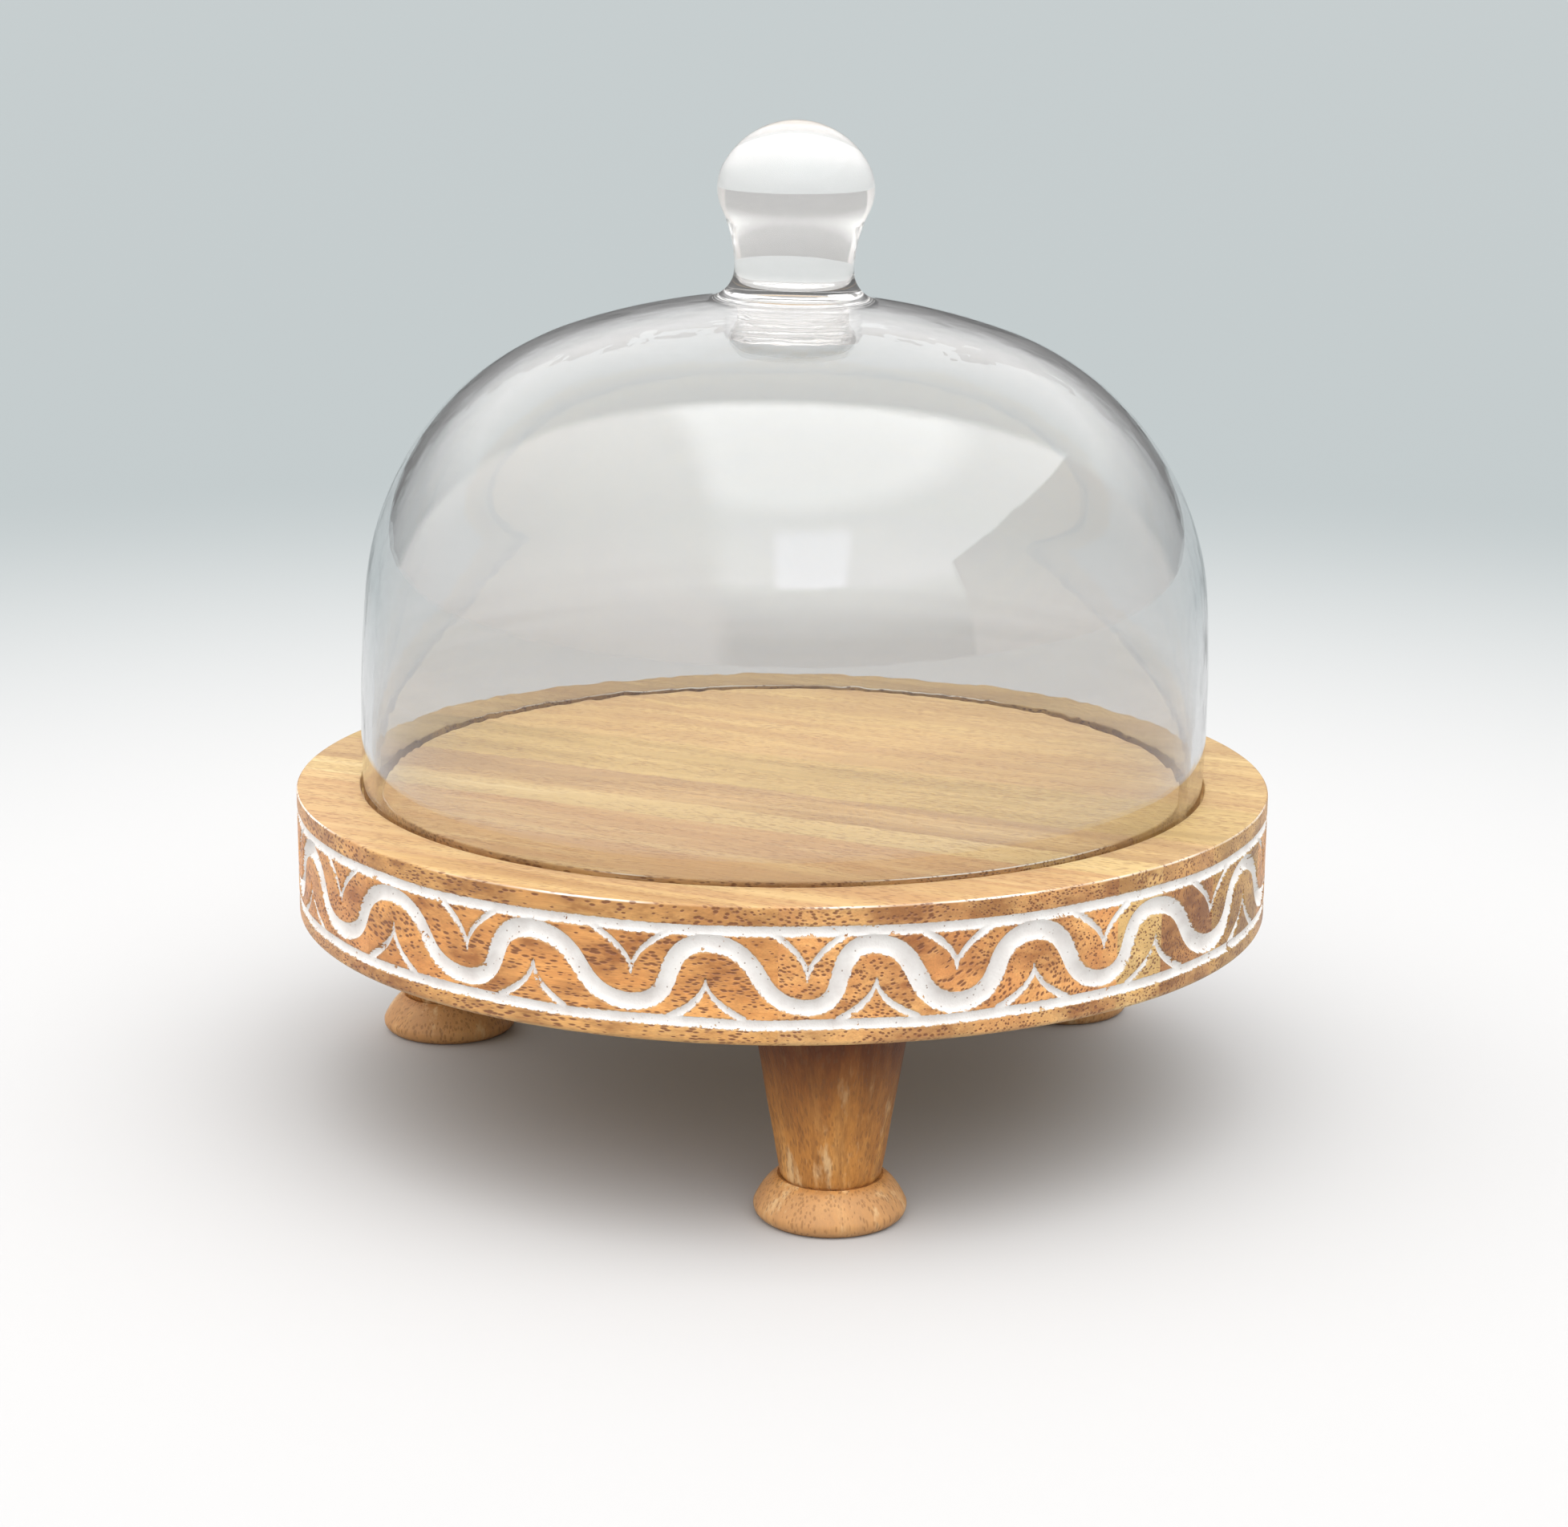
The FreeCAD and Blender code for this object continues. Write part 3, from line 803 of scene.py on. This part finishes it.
def meeting_point(centre_a, radius_a, centre_b, radius_b):
    """Where two circles meet, on the side away from the axis."""
    gap = math.dist(centre_a, centre_b)
    along = (radius_a ** 2 - radius_b ** 2 + gap ** 2) / (2 * gap)
    offset = math.sqrt(radius_a ** 2 - along ** 2)
    unit = ((centre_b[0] - centre_a[0]) / gap, (centre_b[1] - centre_a[1]) / gap)
    foot = (centre_a[0] + unit[0] * along, centre_a[1] + unit[1] * along)
    side = 1 if unit[1] < 0 else -1
    return foot[0] - unit[1] * offset * side, foot[1] + unit[0] * offset * side


def bell_outline(inset, rows):
    """One face of the bell from its lip to where the crown's arc starts, and the crown's centre."""
    wall = (DOME_RADIUS - WALL_ARC, DOME_WIDEST)
    crown = (0.0, CROWN - CROWN_ARC)
    shoulder = meeting_point(crown, CROWN_ARC - SHOULDER_ARC, wall, WALL_ARC - SHOULDER_ARC)
    lip_z = LIP + GLASS / 2
    reach = WALL_ARC - inset
    lip = (wall[0] + math.sqrt(reach ** 2 - (lip_z - wall[1]) ** 2), lip_z)
    spring = towards(wall, shoulder, reach)
    haunch = towards(crown, shoulder, CROWN_ARC - inset)
    outline = [lip] + arc_points(wall, lip, spring, rows) + arc_points(shoulder, spring, haunch, rows)
    return outline, crown


def knob_arcs():
    """Centres and radii of the knob's arcs: top, side, neck and foot."""
    top = (0.0, KNOB_TOP - KNOB_TOP_ARC)
    lift = math.sqrt((KNOB_TOP_ARC - KNOB_SIDE_ARC) ** 2 - KNOB_SIDE_OFFSET ** 2)
    side = (KNOB_SIDE_OFFSET, top[1] + lift)
    rise, reach = side[1] - NECK_Z, NECK_RADIUS - side[0]
    neck_arc = (rise ** 2 + reach ** 2 - KNOB_SIDE_ARC ** 2) / (2 * (KNOB_SIDE_ARC - reach))
    height = NECK_Z - CROWN + CROWN_ARC
    foot_arc = (NECK_RADIUS ** 2 + height ** 2 - CROWN_ARC ** 2) / (2 * (CROWN_ARC - NECK_RADIUS))
    return top, side, (NECK_RADIUS + neck_arc, NECK_Z), (NECK_RADIUS + foot_arc, NECK_Z)


def on_inner_crown(radius):
    return radius, CROWN - CROWN_ARC + math.sqrt((CROWN_ARC - GLASS) ** 2 - radius ** 2)


def collar_outline():
    """The ribbed end of the knob's stem, inside the bell: down its bore, round its end and up its ribs."""
    bore, outside = COLLAR_RADII
    top = on_inner_crown(bore)[1]
    middle = ((bore + outside) / 2, top - COLLAR_LENGTH)
    outline = straight_points((bore, top), (bore, middle[1]), 6)
    outline += arc_points(middle, outline[-1], (middle[0], middle[1] - (outside - bore) / 2), 4)
    outline += arc_points(middle, outline[-1], (outside, middle[1]), 4)
    steps = 8 * COLLAR_RIBS
    for step in range(1, steps + 1):
        rib = 0.5 * COLLAR_RIB * (1 - math.cos(2 * math.pi * step / 8))
        outline.append((outside + rib, middle[1] + (COLLAR_LENGTH - 0.3 * MM) * step / steps))
    return outline + [on_inner_crown(outside + 0.4 * MM)]


def glass_outlines():
    """The outer face of bell and knob with the lip and the inner face, and the knob's air space."""
    outer, crown = bell_outline(0.0, 34)
    inner, _ = bell_outline(GLASS, 34)
    top, side, neck, foot = knob_arcs()
    foot_edge = towards(crown, foot, CROWN_ARC)
    waist = (NECK_RADIUS, NECK_Z)
    ball_join = towards(side, neck, KNOB_SIDE_ARC)
    ball_crown = towards(top, side, KNOB_TOP_ARC)

    outline = [(0.0, CROWN - GLASS)]
    outline += arc_points(crown, outline[0], on_inner_crown(COLLAR_RADII[0]), 10)
    outline += collar_outline()
    outline += arc_points(crown, outline[-1], inner[-1], 22)
    outline += inner[::-1][1:]
    middle = ((inner[0][0] + outer[0][0]) / 2, inner[0][1])
    under = (middle[0], LIP)
    outline += arc_points(middle, inner[0], under, 5) + arc_points(middle, under, outer[0], 5)
    outline += outer[1:]
    outline += arc_points(crown, outer[-1], foot_edge, 18)
    outline += arc_points(foot, foot_edge, waist, 16)
    outline += arc_points(neck, waist, ball_join, 14)
    outline += arc_points(side, ball_join, ball_crown, 22)
    outline += arc_points(top, ball_crown, (0.0, KNOB_TOP), 14)

    thin = KNOB_GLASS
    air_join = towards(side, neck, KNOB_SIDE_ARC - thin)
    air_crown = towards(top, side, KNOB_TOP_ARC - thin)
    air = [(0.0, KNOB_TOP - thin)]
    air += arc_points(top, air[0], air_crown, 12)
    air += arc_points(side, air_crown, air_join, 18)
    air += arc_points(neck, air_join, (NECK_RADIUS - thin, NECK_Z), 12)
    corner = 3.0 * MM
    bottom = (NECK_RADIUS - thin, KNOB_FLOOR + corner)
    air += straight_points(air[-1], bottom, 6)
    air += arc_points((bottom[0] - corner, bottom[1]), bottom, (bottom[0] - corner, KNOB_FLOOR), 6)
    return [outline, air + [(0.0, KNOB_FLOOR)]]


def blown(point):
    """Blown glass: slightly wavy, and leaning a degree to one side above its lip."""
    radius = math.hypot(point.x, point.y)
    sway = noise.noise(point * 16 + Vector((3, 5, 7))) + 0.5 * noise.noise(point * 38)
    scale = 1 - 0.16 * MM * (1 + sway) / max(radius, 20 * MM)
    rise = max(0.0, point.z - BOARD_TOP)
    ease = min(1.0, rise / (60 * MM))
    sideways = point.dot(LEAN_DIRECTION)
    drop = GLASS_LEAN * sideways * ease * ease * (3 - 2 * ease) + 0.01 * MM * ease
    shift = LEAN_DIRECTION * GLASS_LEAN * rise
    return Vector((point.x * scale, point.y * scale, point.z - drop)) + shift


def clear_glass(name, dark_reflection_tint, tint, clarity, refraction):
    """Clear glass that lets daylight through in its shadow, with a painted dark reflection near the lip if
    its two tints differ.
    """
    shader = new_shader(name)
    place = shader.coordinates()
    ripple = shader.bump(shader.noise(place, 60, detail=2.0), 0.0004, 0.15)
    # Painted reflection: the glass is tinted darker near the lip, up to a wobbly height, for the room's dark
    # reflections
    if dark_reflection_tint != tint:
        reflection_wobble = shader.math("MULTIPLY_ADD", shader.noise(place, (7, 7, 150), detail=3.0), 30 * MM, -15 * MM)
        height = shader.math("ADD", shader.split(place)[2], reflection_wobble)
        tint = shader.mix(shader.band(height, BOARD_TOP + 12 * MM, BOARD_TOP + 50 * MM), dark_reflection_tint, tint)
    glass = shader.node("BsdfPrincipled", {
        "Base Color": tint,
        "Roughness": 0.0,
        "IOR": refraction,
        "Transmission Weight": clarity,
        "Normal": ripple,
    })
    clear = shader.node("BsdfTransparent", {"Color": tint})
    rays = shader.tree.nodes.new("ShaderNodeLightPath")
    inputs = {0: rays.outputs["Is Shadow Ray"], 1: glass.outputs[0], 2: clear.outputs[0]}
    both = shader.node("MixShader", inputs)
    shader.node("OutputMaterial", {"Surface": both.outputs[0]})
    return shader.owner


def make_glass():
    mesh = turned_mesh("blown_dome", glass_outlines(), in_quick(208), bend=blown)
    outward(mesh)
    mesh.polygons.foreach_set("use_smooth", [True] * len(mesh.polygons))
    mesh.materials.append(clear_glass("dome_glass", LIP_DARK_REFLECTION_TINT, GLASS_TINT, DOME_CLARITY, DOME_REFRACTION))
    mesh.materials.append(clear_glass("knob_glass", KNOB_TINT, KNOB_TINT, KNOB_CLARITY, KNOB_REFRACTION))
    in_knob = [face.center.z > KNOB_START for face in mesh.polygons]
    mesh.polygons.foreach_set("material_index", in_knob)
    new_piece("blown_dome", mesh, "dome", ["glass_dome", "glass_knob"])


# ---------------------------------------------------------------- camera, room and floor

VIEW_AZIMUTH = -6.85
VIEW_ELEVATION = 13.79
VIEW_DISTANCE = 1.0126
VIEW_ROLL = 0.38
LENS = 74.52
AIM_RIGHT = 0.47 * MM
AIM_UP = 3.09 * MM

FLOOR_SIZE = 600
FLOOR_DROP = 0.2 * MM
NEAR_FLOOR = (0.44, 0.44, 0.44, 1)
FAR_FLOOR = (0.235, 0.26, 0.265, 1)


def make_camera():
    data = bpy.data.cameras.new("camera")
    data.lens = LENS
    data.sensor_width = 36
    camera = bpy.data.objects.new("camera", data)
    azimuth, elevation = math.radians(VIEW_AZIMUTH), math.radians(VIEW_ELEVATION)
    board = Vector((0, 0, BOARD_TOP))
    back = Vector((
        math.sin(azimuth) * math.cos(elevation),
        -math.cos(azimuth) * math.cos(elevation),
        math.sin(elevation),
    ))
    aim = board + Vector((math.cos(azimuth), math.sin(azimuth), 0)) * AIM_RIGHT + Vector((0, 0, AIM_UP))
    camera.location = board + back * VIEW_DISTANCE
    turn = (camera.location - aim).to_track_quat("Z", "Y").to_matrix().to_4x4()
    camera.rotation_euler = (turn @ Matrix.Rotation(math.radians(VIEW_ROLL), 4, "Z")).to_euler()
    bpy.context.scene.collection.objects.link(camera)
    bpy.context.scene.camera = camera


def make_room():
    """A white room as light by direction: bright ahead, dimmer to both sides, dark behind and low down."""
    shader = Shader(bpy.data.worlds.new("room"))
    bpy.context.scene.world = shader.owner
    facing = (0, 0, math.radians(-VIEW_AZIMUTH))
    x, y, z = shader.split(shader.moved(shader.coordinates("Generated"), rotation=facing))
    ahead = shader.ramp(z, [
        (0.06, grey(0.10)), (0.14, grey(0.25)), (0.30, grey(1.0)),
        (0.42, grey(1.8)), (0.50, grey(2.6)), (0.80, grey(2.9)), (0.88, grey(4.0)),
    ])
    left = shader.ramp(z, [(0.0, (0.75, 0.70, 0.68)), (0.5, (1.95, 1.86, 1.82)), (0.9, (2.9, 2.85, 2.8))])
    right = shader.ramp(z, [(0.0, (0.55, 0.50, 0.47)), (0.6, (1.35, 1.26, 1.20))])
    light = shader.mix(shader.band(x, -0.36, -0.22, 1.0, 0.0), ahead, left)
    corner = shader.band(shader.math("MULTIPLY_ADD", y, 1.235, x), -0.01, 0.01)
    under = shader.band(shader.math("MULTIPLY_ADD", x, 0.81, shader.math("MULTIPLY", z, -1.0)), -0.01, 0.01)
    light = shader.mix(shader.math("MULTIPLY", corner, under), light, right)
    width, rise = shader.span(x, (-0.08, -0.02), (0.23, 0.28)), shader.span(z, (0.45, 0.48), (0.72, 0.78))
    light = shader.mix(shader.math("MULTIPLY", width, rise), light, (3.5, 3.55, 3.75, 1))
    wall_end = shader.math("MULTIPLY_ADD", z, 0.4, y)
    behind = shader.ramp(z, [(0.0, grey(0.2)), (0.2, grey(0.4)), (0.45, grey(1.4))])
    light = shader.mix(shader.band(wall_end, 0.62, 0.68), light, behind)
    background = shader.node("Background", {"Color": light})
    shader.node("OutputWorld", {"Surface": background.outputs[0]})


def make_floor():
    """A plain floor, pale under the object and greyer in the distance."""
    shader = new_shader("pale_floor")
    place = shader.coordinates()
    distance = shader.node("VectorMath", {0: place}, operation="LENGTH").outputs["Value"]
    colour = shader.mix(shader.band(distance, 0.25, 1.3), NEAR_FLOOR, FAR_FLOOR)
    material = shader.finish(Base_Color=colour, Roughness=0.7, Specular_IOR_Level=0.1)
    bpy.ops.mesh.primitive_plane_add(size=FLOOR_SIZE, location=(0, 0, -FLOOR_DROP))
    floor = bpy.context.object
    floor.name = "floor"
    floor.data.materials.append(material)


def main():
    make_camera()
    make_staves()
    make_legs()
    make_bolts(zinc())
    finish_inserts(brass())
    make_glass()
    make_room()
    make_floor()
    bpy.context.scene.view_settings.view_transform = "Standard"


main()
bpy.context.view_layer.update()
